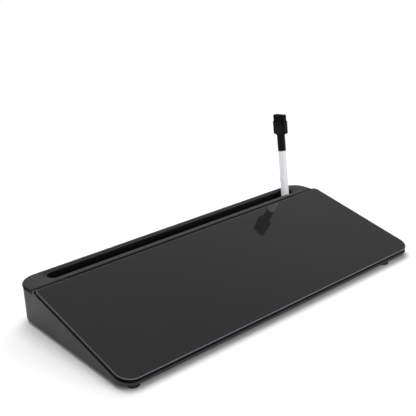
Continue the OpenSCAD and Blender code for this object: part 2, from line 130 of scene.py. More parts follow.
class ShaderGraph:
    """Node tree of a material or the world, with short ways to add nodes."""

    COLOUR_A, COLOUR_B, COLOUR_OUT = 6, 7, 2  # a Mix node's sockets for colours

    def __init__(self, tree: bpy.types.NodeTree) -> None:
        """Empties the tree and keeps it."""
        self.tree = tree
        tree.nodes.clear()

    def node(
        self,
        kind: str,
        settings: dict[str, object] | None = None,
        inputs: dict[int | str, object] | None = None,
    ) -> bpy.types.Node:
        """Makes any node.

        Args:
            kind: The node's type.
            settings: Its properties, which are set first.
            inputs: Its inputs by name or number, each a wire or a constant.

        Returns:
            The new node.
        """
        node = self.tree.nodes.new(kind)
        for name, value in (settings or {}).items():
            setattr(node, name, value)
        for key, value in (inputs or {}).items():
            if isinstance(value, Wire):
                self.tree.links.new(value.socket, node.inputs[key])
            else:
                node.inputs[key].default_value = value
        return node

    def add(
        self,
        kind: str,
        settings: dict[str, object] | None = None,
        inputs: dict[int | str, object] | None = None,
        output: int | str = 0,
    ) -> Wire:
        """Makes any node, and gives its output of that name or number."""
        return Wire(self, self.node(kind, settings, inputs).outputs[output])

    def place(self, stretch: Sequence[float] = (1, 1, 1)) -> Wire:
        """Object coordinates in metres, stretched along each axis."""
        base = self.add("ShaderNodeTexCoord", output="Object")
        return self.add("ShaderNodeVectorMath", {"operation": "MULTIPLY"}, {0: base, 1: tuple(stretch)})

    def axes(self, vector: Wire) -> tuple[Wire, ...]:
        """Splits a vector into its X, Y and Z."""
        split = self.node("ShaderNodeSeparateXYZ", inputs={0: vector})
        return tuple(Wire(self, socket) for socket in split.outputs)

    def noise(self, where: Wire, scale: float, detail: float = 4.0, rough: float = 0.55) -> Wire:
        """Cloudy noise round 0.5: lumps per metre, octaves, and the weight of the fine ones."""
        sockets = {"Vector": where, "Scale": scale, "Detail": detail, "Roughness": rough}
        return self.add("ShaderNodeTexNoise", inputs=sockets)

    def cells(self, where: Wire, scale: float) -> Wire:
        """Distance to points scattered at this number per metre, in cells."""
        return self.add("ShaderNodeTexVoronoi", inputs={"Vector": where, "Scale": scale})

    def tint(self, share: Scalar, a: Wire | Colour, b: Wire | Colour, how: Blend = Blend.MIX) -> Wire:
        """Joins a share of the second colour to the first."""
        sockets = {0: share, self.COLOUR_A: a, self.COLOUR_B: b}
        return self.add(
            "ShaderNodeMix", {"data_type": "RGBA", "blend_type": how.value}, sockets, self.COLOUR_OUT
        )

    def soft(self, radius: float) -> Wire:
        """Normal that rounds the edges over this radius."""
        return self.add("ShaderNodeBevel", {"samples": 4}, {"Radius": radius})

    def bump(self, height: Wire, depth: float, normal: Wire | None = None) -> Wire:
        """Turns a height into a normal.

        Args:
            height: Height, 0 to 1.
            depth: Metres that a height of 1 stands for.
            normal: Normal that the bump starts from.

        Returns:
            The bent normal.
        """
        sockets: dict[int | str, object] = {"Height": height, "Distance": depth, "Strength": 1.0}
        if normal is not None:
            sockets["Normal"] = normal
        return self.add("ShaderNodeBump", inputs=sockets)

    def principled(self, **inputs: object) -> Wire:
        """Adds the surface shader; its inputs are named with underscores for spaces."""
        named = {key.replace("_", " "): value for key, value in inputs.items()}
        return self.add("ShaderNodeBsdfPrincipled", inputs=named)

    def finish(self, shader: Wire, kind: str = "ShaderNodeOutputMaterial") -> None:
        """Links the shader to the output."""
        self.node(kind, inputs={"Surface": shader})


def grey(level: float, warm: float = 0.0) -> Colour:
    """A grey of this linear level; warm lifts red and lowers blue by that share."""
    return (level * (1 + warm), level, level * (1 - warm), 1.0)


@dataclass(frozen=True)
class Finish:
    """Base of all finishes."""

    name: str

    def paint(self, graph: ShaderGraph) -> Wire:
        """Builds the shader in the graph and returns it."""
        raise NotImplementedError

    def material(self) -> bpy.types.Material:
        """Makes the material.

        Returns:
            The new material.
        """
        made = bpy.data.materials.new(self.name)
        made.use_nodes = True
        graph = ShaderGraph(made.node_tree)
        graph.finish(self.paint(graph))
        return made


@dataclass(frozen=True)
class MouldedPlastic(Finish):
    """Plastic with a fine spark-eroded grain, faint flow marks and rubbed patches, and, where a band is
    given, painted shade.
    """

    level: float = 0.04
    warm: float = 0.0
    rough: float = 0.48
    grain: float = 2600.0
    grain_depth: float = 0.02 * MM
    wear: float = 0.5
    edge: float = 0.4 * MM
    shine: float = 0.5
    # heights between which the colour is darkened to near black: a painted shadow
    painted_shade_band: tuple[float, float] | None = None
    band_blur: float = 0.2 * MM

    def paint(self, graph: ShaderGraph) -> Wire:
        """Builds the plastic.

        Args:
            graph: The graph to fill.

        Returns:
            The surface shader.
        """
        here = graph.place()
        flow = graph.noise(graph.place((0.4, 1.6, 1.0)), 26.0, 3.0)
        grain = graph.noise(here, self.grain, 2.0, 0.7)
        pits = graph.cells(here, self.grain * 0.6)
        dust = graph.noise(here, 900.0, 5.0, 0.8).step(0.64, 0.78)
        rubbed = graph.noise(here, 60.0).step(0.42, 0.72) * self.wear
        base = graph.tint(flow, grey(self.level * 0.86, self.warm), grey(self.level * 1.14, self.warm))
        speck = graph.tint(grain, grey(0.86), grey(1.14))
        base = graph.tint(0.7, base, speck, Blend.MULTIPLY)
        base = graph.tint(dust * 0.12, base, grey(0.2, 0.04))
        # Painted shade: the colour goes near black between two heights, standing in for the shadow in a
        # groove.
        if self.painted_shade_band:
            low, high = self.painted_shade_band
            _, _, z = graph.axes(here)
            shaded = z.step(low - self.band_blur, low) * z.step(high + self.band_blur, high)
            base = graph.tint(shaded * 0.9, base, grey(0.0005))
        return graph.principled(
            Base_Color=base,
            Roughness=self.rough - rubbed * 0.09 + (grain - 0.5) * 0.16 + dust * 0.12,
            Specular_IOR_Level=self.shine,
            Normal=graph.bump(grain * 0.6 + pits * 0.4, self.grain_depth, graph.soft(self.edge)),
        )


@dataclass(frozen=True)
class BlackGlass(Finish):
    """Clear toughened glass with a black print behind it, seen from the front."""

    level: float = 0.012
    side: float = 0.003
    tilt: float = 13.2
    rear: tuple[float, float] = (0.05333, 0.045)
    rim: tuple[float, float] = (-0.3 * MM, -0.6 * MM)
    shine: float = 0.35

    def paint(self, graph: ShaderGraph) -> Wire:
        """Builds the glass; its rim starts a little below the sloping top face.

        Args:
            graph: The graph to fill.

        Returns:
            The surface shader.
        """
        here = graph.place()
        _, y, z = graph.axes(here)
        cos, sin = math.cos(math.radians(self.tilt)), math.sin(math.radians(self.tilt))
        rim = ((z - self.rear[1]) * cos - (y - self.rear[0]) * sin).step(*self.rim)
        ghost = graph.noise(here, 14.0, 5.0, 0.6)
        wiped = graph.noise(graph.place((9, 90, 90)), 3.0, 4.0, 0.6)
        smear = (ghost.step(0.45, 0.75) * wiped.step(0.4, 0.8)) * 0.5
        dust = graph.noise(here, 1500.0, 3.0, 0.8).step(0.68, 0.8)
        front = graph.tint(ghost, grey(self.level * 0.96, 0.02), grey(self.level * 1.04, 0.01))
        front = graph.tint(smear * 0.03 + dust * 0.03, front, grey(0.16))
        ripple = graph.noise(here, 9.0, 1.0)
        grind = graph.noise(graph.place((1, 1, 6)), 420.0, 3.0)
        return graph.principled(
            Base_Color=graph.tint(rim, front, grey(self.side, -0.1)),
            Roughness=smear * 0.05 + dust * 0.08 + 0.045 + rim * 0.12,
            IOR=GLASS_IOR,
            Specular_IOR_Level=self.shine,
            Normal=graph.bump(ripple * 0.4 + grind * rim * 0.02, 0.04 * MM),
        )


@dataclass(frozen=True)
class GroundEdge(Finish):
    """The ground and polished arris round the glass, where light gathers; its given colours are a painted
    highlight, lighter and bluer along the front.
    """

    # Painted highlight: the arris's colour along the front, lighter and bluer than along the sides.
    front: Colour = (0.125, 0.148, 0.175, 1)
    sides: Colour = (0.085, 0.088, 0.09, 1)
    turns_at: tuple[float, float] = (-80.0 * MM, -91.0 * MM)
    worn: float = 1.0
    shine: float = 0.3

    def paint(self, graph: ShaderGraph) -> Wire:
        """Builds the edge.

        Args:
            graph: The graph to fill.

        Returns:
            The surface shader.
        """
        here = graph.place()
        _, y, _ = graph.axes(here)
        streak = graph.noise(graph.place((1, 1, 5)), 320.0)
        chips = graph.noise(here, 1400.0, 3.0).step(0.62, 0.74)
        # Painted highlight: blends from the sides' colour to the lighter, bluer front colour towards the
        # front.
        base = graph.tint(y.step(*self.turns_at), self.sides, self.front)
        base = graph.tint(streak * (0.35 * self.worn), base, grey(0.05))
        base = graph.tint(chips * (0.3 * self.worn), base, grey(0.3))
        return graph.principled(
            Base_Color=base,
            Roughness=streak * 0.2 + 0.22,
            IOR=GLASS_IOR,
            Specular_IOR_Level=self.shine,
            Normal=graph.bump(streak + chips * 0.4, 0.03 * MM),
        )


@dataclass(frozen=True)
class GlossPlastic(Finish):
    """Smooth moulded plastic with fine scratches and a matt touch where it is held."""

    level: float = 0.8
    warm: float = 0.0
    rough: float = 0.28
    handled: float = 0.15
    grime: Colour = (0.3, 0.29, 0.27, 1)
    grime_share: float = 0.05
    edge: float = 0.2 * MM
    shine: float = 0.5
    coat: float = 0.1

    def paint(self, graph: ShaderGraph) -> Wire:
        """Builds the plastic.

        Args:
            graph: The graph to fill.

        Returns:
            The surface shader.
        """
        here = graph.place()
        cloud = graph.noise(here, 120.0)
        held = graph.noise(here, 70.0, 2.0).step(0.35, 0.7)
        scratch = graph.noise(graph.place((1, 1, 14)), 1300.0, 2.0, 0.6).step(0.7, 0.76)
        spots = graph.noise(here, 800.0, 5.0, 0.75).step(0.66, 0.8)
        base = graph.tint(cloud, grey(self.level * 0.95, self.warm), grey(self.level * 1.05, self.warm))
        return graph.principled(
            Base_Color=graph.tint(spots * self.grime_share + scratch * self.grime_share, base, self.grime),
            Roughness=held * self.handled + self.rough + scratch * 0.12 + (cloud - 0.5) * 0.05,
            Specular_IOR_Level=self.shine,
            Coat_Weight=self.coat,
            Coat_Roughness=0.12,
            Normal=graph.bump(cloud * 0.5 - scratch * 0.4, 0.02 * MM, graph.soft(self.edge)),
        )


@dataclass(frozen=True)
class Metal(Finish):
    """Plated steel with drawn or rolled lines and a few dull spots."""

    level: float = 0.55
    lines: Place = (1.0, 30.0, 30.0)
    rough: float = 0.3

    def paint(self, graph: ShaderGraph) -> Wire:
        """Builds the metal.

        Args:
            graph: The graph to fill.

        Returns:
            The surface shader.
        """
        drawn = graph.noise(graph.place(self.lines), 160.0, 5.0, 0.65)
        dull = graph.noise(graph.place(), 210.0, 5.0).step(0.5, 0.75)
        base = graph.tint(drawn, grey(self.level * 0.86, 0.01), grey(self.level * 1.12, -0.01))
        return graph.principled(
            Base_Color=graph.tint(dull * 0.35, base, grey(self.level * 0.6, 0.03)),
            Metallic=1.0,
            Roughness=self.rough + (drawn - 0.5) * 0.2 + dull * 0.18,
            Normal=graph.bump(drawn, 0.03 * MM),
        )


@dataclass(frozen=True)
class Fibre(Finish):
    """Felt or bonded fibre: a matted nap of short hairs."""

    level: float = 0.02
    hair: float = 2200.0
    depth: float = 0.25 * MM
    chalk: float = 0.06
    shine: float = 0.15
    nap: float = 0.03

    def paint(self, graph: ShaderGraph) -> Wire:
        """Builds the fibre.

        Args:
            graph: The graph to fill.

        Returns:
            The surface shader.
        """
        here = graph.place()
        hairs = graph.noise(graph.place((1.0, 0.45, 1.4)), self.hair, 5.0, 0.7)
        clumps = graph.noise(here, self.hair * 0.16, 3.0)
        used = graph.noise(here, 190.0, 3.0).step(0.45, 0.75)
        base = graph.tint(hairs, grey(self.level * 0.55), grey(self.level * 1.6))
        base = graph.tint(clumps, base, grey(self.level * 1.1))
        return graph.principled(
            Base_Color=graph.tint(used * self.chalk, base, grey(0.14)),
            Roughness=0.92 + (hairs - 0.5) * 0.1,
            Specular_IOR_Level=self.shine,
            Sheen_Weight=self.nap,
            Sheen_Roughness=0.5,
            Normal=graph.bump(hairs * 0.7 + clumps * 0.3, self.depth),
        )


@dataclass(frozen=True)
class SoftRubber(Finish):
    """Matt rubber with a bloom and a few pressed-in specks."""

    level: float = 0.018
    rough: float = 0.75

    def paint(self, graph: ShaderGraph) -> Wire:
        """Builds the rubber.

        Args:
            graph: The graph to fill.

        Returns:
            The surface shader.
        """
        here = graph.place()
        bloom = graph.noise(here, 240.0)
        specks = graph.cells(here, 900.0).step(0.22, 0.1)
        base = graph.tint(bloom, grey(self.level * 0.8), grey(self.level * 1.5, 0.03))
        return graph.principled(
            Base_Color=graph.tint(specks * 0.2, base, grey(0.12, 0.05)),
            Roughness=self.rough + (bloom - 0.5) * 0.2,
            Normal=graph.bump(bloom - specks * 0.3, 0.06 * MM),
        )


@dataclass(frozen=True)
class ClearGel(Finish):
    """Clear soft plastic, faintly blue, with tiny bubbles."""

    deep: Colour = (0.38, 0.52, 0.68, 1)
    pale: Colour = (0.55, 0.66, 0.78, 1)
    bubble: Colour = (0.95, 0.97, 1.0, 1)
    clear: float = 0.75

    def paint(self, graph: ShaderGraph) -> Wire:
        """Builds the gel.

        Args:
            graph: The graph to fill.

        Returns:
            The surface shader.
        """
        here = graph.place()
        bubbles = graph.cells(here, 1100.0).step(0.2, 0.08)
        haze = graph.noise(here, 160.0, 3.0)
        return graph.principled(
            Base_Color=graph.tint(bubbles * 0.4, graph.tint(haze, self.deep, self.pale), self.bubble),
            Roughness=haze * 0.1 + 0.14,
            IOR=GEL_IOR,
            Transmission_Weight=self.clear,
            Normal=graph.bump(haze - bubbles * 0.5, 0.03 * MM),
        )


@dataclass(frozen=True)
class Plan:
    """Rounded rectangle with its own corner radius at the front and at the rear."""

    half_width: float
    front: float
    rear: float
    front_r: float
    rear_r: float
    steps: int
    least_r: float = 0.05 * MM

    def ring(self, inset: float = 0.0) -> list[Point]:
        """Walks round the outline, anticlockwise from the front left.

        Args:
            inset: How far the outline is drawn in.

        Returns:
            The points, always the same number.
        """
        points: list[Point] = []
        for sx, sy, start in ((-1, -1, 180), (1, -1, 270), (1, 1, 0), (-1, 1, 90)):
            radius = self.front_r if sy < 0 else self.rear_r
            x = sx * (self.half_width - radius)
            y = self.front + radius if sy < 0 else self.rear - radius
            r = max(radius - inset, self.least_r)
            for k in range(self.steps + 1):
                a = math.radians(start + 90.0 * k / self.steps)
                points.append((x + r * math.cos(a), y + r * math.sin(a)))
        return points


@dataclass(frozen=True)
class Keyhole:
    """Slot with a round left end that runs into a larger round hole on its right."""

    slot_x: float
    hole_x: float
    y: float
    slot_r: float
    hole_r: float
    steps: int

    def ring(self, grow: float, hole_grow: float | None = None) -> list[Point]:
        """Walks round the outline, anticlockwise.

        Args:
            grow: How far the slot's outline is let out.
            hole_grow: The same for the hole, or None for the same as the slot.

        Returns:
            The points, always the same number.
        """
        r = self.slot_r + grow
        big = self.hole_r + (grow if hole_grow is None else hole_grow)
        cusp = math.asin(min(r / big, 1.0))
        points: list[Point] = []
        for k in range(self.steps + 1):
            a = math.radians(90 + 180 * k / self.steps)
            points.append((self.slot_x + r * math.cos(a), self.y + r * math.sin(a)))
        first, last = cusp - math.pi, math.pi - cusp
        for k in range(2 * self.steps + 1):
            a = first + (last - first) * k / (2 * self.steps)
            points.append((self.hole_x + big * math.cos(a), self.y + big * math.sin(a)))
        return points


def circle(centre: Point, r: float, steps: int) -> list[Point]:
    """Points on a circle about the centre."""
    angles = [2 * math.pi / steps * k for k in range(steps)]
    return [(centre[0] + r * math.cos(a), centre[1] + r * math.sin(a)) for a in angles]


def quarter(r: float, steps: int) -> list[Point]:
    """Quarter round from side to top, as pairs of inset and depth below the top."""
    angles = [math.pi / 2 * k / steps for k in range(steps + 1)]
    return [(r * (1 - math.cos(a)), r * (1 - math.sin(a))) for a in angles]


def between(a: Point, b: Point, share: float) -> Point:
    """Point that lies this share of the way from one point to another."""
    return (a[0] + (b[0] - a[0]) * share, a[1] + (b[1] - a[1]) * share)


def add_object(name: str, data: bpy.types.ID) -> bpy.types.Object:
    """Makes an object and links it to the scene.

    Args:
        name: The object's name.
        data: Its mesh, lamp or camera.

    Returns:
        The new object.
    """
    made = bpy.data.objects.new(name, data)
    bpy.context.scene.collection.objects.link(made)
    return made


def shade(mesh: bpy.types.Mesh, sharp: float) -> None:
    """Shades a mesh smooth, but for edges sharper than this many degrees."""
    mesh.polygons.foreach_set("use_smooth", [True] * len(mesh.polygons))
    mesh.set_sharp_from_angle(angle=math.radians(sharp))


class MeshMaker:
    """Builds one mesh out of rings of points."""

    def __init__(self, turn: Matrix | None = None) -> None:
        """Starts an empty mesh whose own axes lie in the frame as turn says."""
        self.bm = bmesh.new()
        self.turn = turn or Matrix.Identity(4)

    def ring(self, points: Iterable[Point], z: float, turn: Matrix | None = None) -> Ring:
        """Adds a level ring of points, on the mesh's own axes unless turn is given."""
        axes = turn or self.turn
        return [self.bm.verts.new(axes @ Vector((x, y, z))) for x, y in points]

    def skin(self, rings: Sequence[Ring]) -> None:
        """Joins each ring to the next with four-sided faces.

        Args:
            rings: The rings, in order.
        """
        for low, high in zip(rings, rings[1:]):
            for i in range(len(low)):
                j = (i + 1) % len(low)
                self.bm.faces.new((low[i], low[j], high[j], high[i]))

    def pocket(self, rings: Sequence[Ring]) -> None:
        """Joins the rings and closes the last."""
        self.skin(rings)
        self.bm.faces.new(rings[-1])

    def block(self, rings: Sequence[Ring]) -> None:
        """Joins the rings and closes the first and the last."""
        self.skin(rings)
        for ring in (rings[0], rings[-1]):
            self.bm.faces.new(ring)

    def sheet(self, *rings: Ring) -> None:
        """Fills the flat area between an outer ring and the rings inside it.

        Args:
            rings: The outer ring, then each hole.
        """
        edges = []
        for ring in rings:
            for i, vert in enumerate(ring):
                pair = (vert, ring[(i + 1) % len(ring)])
                edges.append(self.bm.edges.get(pair) or self.bm.edges.new(pair))
        bmesh.ops.triangle_fill(self.bm, use_beauty=True, use_dissolve=False, edges=edges)

    def done(self, name: str, finish: bpy.types.Material, sharp: float = 32.0) -> bpy.types.Object:
        """Turns the faces outward and makes the object.

        Args:
            name: The object's name.
            finish: Its material.
            sharp: Edges sharper than this angle stay sharp, in degrees.

        Returns:
            The new object.
        """
        bmesh.ops.recalc_face_normals(self.bm, faces=self.bm.faces)
        mesh = bpy.data.meshes.new(name)
        self.bm.to_mesh(mesh)
        self.bm.free()
        shade(mesh, sharp)
        mesh.materials.append(finish)
        return add_object(name, mesh)


@dataclass(frozen=True)
class Layout:
    """Sizes that several pieces share, in metres and degrees."""

    deck_z: float = 45.0 * MM
    glass_y: float = 53.3279 * MM
    tilt: float = 13.2
    rail_z: float = 42.7 * MM
    cover_front: float = 59.6279 * MM
    slot_y: float = 77.3279 * MM
    hole_x: float = 170.5 * MM
    lean: float = 5.3

    def slope(self) -> Matrix:
        """Axes of the glass's top face, with its rear edge on X."""
        spot = Matrix.Translation((0, self.glass_y, self.deck_z))
        return spot @ Matrix.Rotation(math.radians(self.tilt), 4, "X")

    def marker(self) -> Matrix:
        """Axes of the marker, with Z = 0 at the top of the cover."""
        spot = Matrix.Translation((self.hole_x, self.slot_y, self.rail_z))
        return spot @ Matrix.Rotation(math.radians(-self.lean), 4, "X")


@dataclass
class Assembly:
    """Base of the sub-assemblies."""

    layout: Layout

    def dress(self, finish: Finish, *nodes: str) -> None:
        """Gives CAD nodes a finish.

        Args:
            finish: The finish.
            nodes: Names of the nodes.
        """
        material = finish.material()
        for name in nodes:
            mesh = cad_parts[name].data
            mesh.materials.clear()
            mesh.materials.append(material)
            shade(mesh, CAD_SHARP)
            LOG.info("%s: solid dressed in %s", name, finish.name)

    def keep(self, piece: bpy.types.Object, body: str, slot: str, *nodes: str) -> None:
        """Lets a piece ride on a body in place of CAD nodes.

        Args:
            piece: The piece.
            body: The body that it moves with.
            slot: The record's material slot; not used.
            nodes: The nodes that it stands for.
        """
        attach(piece, body)
        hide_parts(*nodes)
        LOG.info("%s: made with %d faces", piece.name, len(piece.data.polygons))

    def build(self) -> None:
        """Makes the pieces of the sub-assembly."""
        raise NotImplementedError


@dataclass
class TrayBase(Assembly):
    """The moulded wedge, its feet and its screws."""

    front_r: float = 16.0 * MM
    rear_r: float = 20.0 * MM
    corner_steps: int = 16
    rounding: float = 2.0 * MM
    rounding_steps: int = 6
    spare: float = 0.02 * MM
    # heights of the painted shadow in the groove under the rail cover's overhang
    groove_painted_shade: tuple[float, float] = (38.1 * MM, 39.6 * MM)

    def build(self) -> None:
        """Makes the wedge's shell and gives the solids their finishes."""
        # The tray's plastic goes near black between these heights: a painted shadow under the cover's
        # overhang.
        finish = MouldedPlastic(
            "tray_plastic", level=0.021, warm=0.04, rough=0.52, shine=0.36, painted_shade_band=self.groove_painted_shade
        )
        self.keep(self._shell(finish.material()), "base", "base_plastic", "base_tray")
        feet = [f"{row}_{side}_foot" for row in ("front", "rear") for side in ("left", "right")]
        self.dress(SoftRubber("foot_rubber", level=0.007), *feet)
        self.dress(Metal("screw_steel", lines=(1, 1, 12)), "rail_screws")

    def _outline(self, finish: bpy.types.Material) -> bpy.types.Object:
        """Makes the block with rounded corners that the tray is trimmed to.

        Args:
            finish: The block's material.

        Returns:
            The block.
        """
        low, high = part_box("base_tray")
        front, rear = low[1] - self.spare, high[1] + self.spare
        plan = Plan(high[0] + self.spare, front, rear, self.front_r, self.rear_r, self.corner_steps)
        bend = reversed(quarter(self.rounding, self.rounding_steps))
        levels = [(self.rounding, low[2] - self.spare)] + [(i, low[2] + d) for i, d in bend]
        levels.append((0, high[2] + self.rounding))
        maker = MeshMaker()
        maker.block([maker.ring(plan.ring(inset), z) for inset, z in levels])
        return maker.done("tray_outline", finish)

    def _shell(self, finish: bpy.types.Material) -> bpy.types.Object:
        """Rounds the tray's corners and its bottom edge.

        Args:
            finish: The shell's material.

        Returns:
            The rounded shell.
        """
        outline = self._outline(finish)
        shell = add_object("tray_shell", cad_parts["base_tray"].data.copy())
        trim = shell.modifiers.new("trim", "BOOLEAN")
        trim.operation = "INTERSECT"
        trim.solver = "EXACT"
        trim.object = outline
        bpy.context.view_layer.update()
        trimmed = bpy.data.meshes.new_from_object(shell.evaluated_get(bpy.context.evaluated_depsgraph_get()))
        shell.modifiers.clear()
        shell.data = trimmed
        bpy.data.objects.remove(outline)
        trimmed.materials.clear()
        trimmed.materials.append(finish)
        trimmed.polygons.foreach_set("material_index", [0] * len(trimmed.polygons))
        shade(trimmed, CAD_SHARP)
        shell.modifiers.new("even", "WEIGHTED_NORMAL").keep_sharp = True
        return shell


@dataclass
class RailCover(Assembly):
    """The cover with its keyhole slot, the trough below it and the marker's socket."""

    half_width: float = 204.2 * MM
    depth: float = 34.1 * MM
    front_r: float = 3.0 * MM
    rear_r: float = 20.6 * MM
    corner_steps: int = 24
    plate_t: float = 3.2 * MM
    rounding: float = 2.6 * MM
    rounding_steps: int = 8
    undercut: float = 0.5 * MM
    undercut_high: float = 0.7 * MM
    shadow_in: float = 1.9 * MM
    shadow_down: float = 0.7 * MM
    slack: float = 0.1 * MM
    slot_x: float = -168.0 * MM
    slot_r: float = 7.5 * MM
    hole_r: float = 9.0 * MM
    mouth_steps: int = 28
    ring_w: float = 2.8 * MM
    hole_ring_share: float = 0.6
    ring_soft: float = 0.18 * MM
    ring_deep: float = 0.6 * MM
    crease: float = 0.4 * MM
    lip: float = 0.6 * MM
    hole_deep: float = 9.0 * MM
    slot_deep: float = 22.5 * MM
    slot_stop: float = 159.54 * MM
    slot_shy: float = 0.02 * MM
    trough_soft: float = 0.8 * MM
    trough_steps: int = 20
    wall: float = 1.8 * MM
    round_steps: int = 48
    socket_r: float = 5.2 * MM
    socket_deep: float = 25.0 * MM
    socket_soft: float = 0.4 * MM
    socket_spare: float = 0.05 * MM
    boss_r: float = 3.95 * MM
    boss_low: float = 10.0 * MM
    boss_gap: float = 0.2 * MM
    boss_steps: int = 32
    boss_x: tuple[float, ...] = (-150.0 * MM, -50.0 * MM, 50.0 * MM, 150.0 * MM)

    @property
    def seat(self) -> float:
        """Height of the plate's underside."""
        return self.layout.rail_z - self.plate_t

    @property
    def floor(self) -> float:
        """Height of the round hole's floor."""
        return self.layout.rail_z - self.hole_deep

    @property
    def slot_floor(self) -> float:
        """Height of the slot's floor."""
        return self.layout.rail_z - self.slot_deep

    def build(self) -> None:
        """Makes the cover, with painted shade: a near-black material deep in the trough and hole, along the
        gap at its front edge and under its overhang.
        """
        spot = self.layout
        mouth = Keyhole(self.slot_x, spot.hole_x, spot.slot_y, self.slot_r, self.hole_r, self.mouth_steps)
        maker = MeshMaker()
        under, ledge = self._plate(maker, mouth)
        trough = self._trough(maker)
        maker.sheet(ledge, trough, self._socket(maker))
        maker.sheet(under, maker.ring(mouth.ring(self.wall), self.seat))
        for x in self.boss_x:
            round_boss = circle((x, spot.slot_y), self.boss_r, self.boss_steps)
            maker.block([maker.ring(round_boss, z) for z in (self.boss_low, self.slot_floor - self.boss_gap)])
        finish = MouldedPlastic("rail_plastic", level=0.017, warm=0.02, rough=0.42, grain=3000.0, shine=0.36)
        cover = maker.done("rail_cover_shell", finish.material())
        # Painted shade: a near-black copy of the plastic, standing in for the shade in the trough, the gap
        # and the undercut.
        deep = MouldedPlastic("rail_painted_shade", level=0.004, rough=0.6, grain=3000.0, shine=0.1)
        cover.data.materials.append(deep.material())
        # Faces in the trough, in the gap along the front edge and under the overhang take the painted shade
        # material.
        reach = self.hole_r + self.ring_w
        for face in cover.data.polygons:
            y, z = face.center.y, face.center.z
            in_trough = abs(y - spot.slot_y) < reach and z < spot.rail_z - self.shadow_down
            in_gap = y < spot.cover_front + self.shadow_in and z < spot.rail_z - self.slack
            below = z < self.seat + self.undercut_high + self.slack
            face.material_index = int(in_trough or in_gap or below)
        self.keep(cover, "base", "rail_plastic", "rail_cover")

    def _plate(self, maker: MeshMaker, mouth: Keyhole) -> tuple[Ring, Ring]:
        """Adds the plate's edge and top, and the walls of the slot and the hole.

        Args:
            maker: The mesh to add to.
            mouth: Outline of the slot and the hole.

        Returns:
            The lowest ring of the edge, and the mouth's ring on the hole's floor.
        """
        top, front = self.layout.rail_z, self.layout.cover_front
        plan = Plan(self.half_width, front, front + self.depth, self.front_r, self.rear_r, self.corner_steps)
        rim = self.seat + self.undercut_high
        bend = [(inset, top - down) for inset, down in quarter(self.rounding, self.rounding_steps)]
        edge = [(self.undercut, self.seat), (self.undercut, rim), (0, rim)] + bend
        outer = [maker.ring(plan.ring(inset), z) for inset, z in edge]
        maker.skin(outer)
        step, wide, hole_wide = top - self.ring_deep, self.ring_w, self.ring_w * self.hole_ring_share
        near, hole_near = wide - self.crease, hole_wide - self.crease
        soft, softer = self.ring_soft, self.ring_soft * HALF_ROUND
        profile = (
            (wide + soft, hole_wide + soft, top),
            (wide + softer, hole_wide + softer, top - softer),
            (wide, hole_wide, top - soft),
            (wide, hole_wide, step - self.crease),
            (near, hole_near, step - self.crease),
            (near, hole_near, step),
            (self.lip, None, step),
            (self.lip * HALF_ROUND, None, step - self.lip * HALF_ROUND),
            (0, None, step - self.lip),
            (0, None, self.floor),
        )
        inner = [maker.ring(mouth.ring(grow, hole_grow), z) for grow, hole_grow, z in profile]
        maker.sheet(outer[-1], inner[0])
        maker.skin(inner)
        return outer[0], inner[-1]

    def _slot_plan(self, grow: float) -> list[Point]:
        """Outline of the trough: round at its left end and square at its right.

        Args:
            grow: How far the outline is let out.

        Returns:
            The points.
        """
        r = self.slot_r + grow
        right, y = self.slot_stop + grow, self.layout.slot_y
        arc = [math.radians(90 + 180 / self.trough_steps * k) for k in range(self.trough_steps + 1)]
        left = [(self.slot_x + r * math.cos(a), y + r * math.sin(a)) for a in arc]
        return left + [(right, y - r), (right, y + r)]

    def _trough(self, maker: MeshMaker) -> Ring:
        """Adds the trough's inside, its shell, and the cup round the hole.

        Args:
            maker: The mesh to add to.

        Returns:
            The trough's ring on the hole's floor.
        """
        low, soft = self.slot_floor, self.trough_soft
        inside = ((0, self.floor), (0, low + soft), (soft, low))
        trough = [maker.ring(self._slot_plan(-self.slot_shy - inset), z) for inset, z in inside]
        maker.pocket(trough)
        maker.pocket([maker.ring(self._slot_plan(self.wall), z) for z in (self.seat, low - self.wall)])
        cup = circle((self.layout.hole_x, self.layout.slot_y), self.hole_r + self.wall, self.round_steps)
        maker.pocket([maker.ring(cup, z) for z in (self.seat, self.floor - self.wall)])
        return trough[0]

    def _socket(self, maker: MeshMaker) -> Ring:
        """Adds the leaning socket under the hole.

        Args:
            maker: The mesh to add to.

        Returns:
            The bore's mouth on the hole's floor.
        """
        place = self.layout.marker()
        axis = place.to_3x3() @ Vector((0, 0, 1))
        mouth = []
        for x, y in circle((0, 0), self.socket_r, self.round_steps):
            foot = place @ Vector((x, y, 0))
            mouth.append(maker.bm.verts.new(foot + axis * ((self.floor - foot.z) / axis.z)))
        deep, outer_r = self.socket_deep, self.socket_r + self.wall
        bore = ((self.socket_r, self.socket_soft - deep), (self.socket_r - self.socket_soft, -deep))
        shell = ((outer_r, -self.hole_deep - self.wall), (outer_r, self.socket_spare - deep - self.wall))
        for first, levels in (([mouth], bore), ([], shell)):
            rings = [maker.ring(circle((0, 0), r, self.round_steps), z, place) for r, z in levels]
            maker.pocket(first + rings)
        return mouth


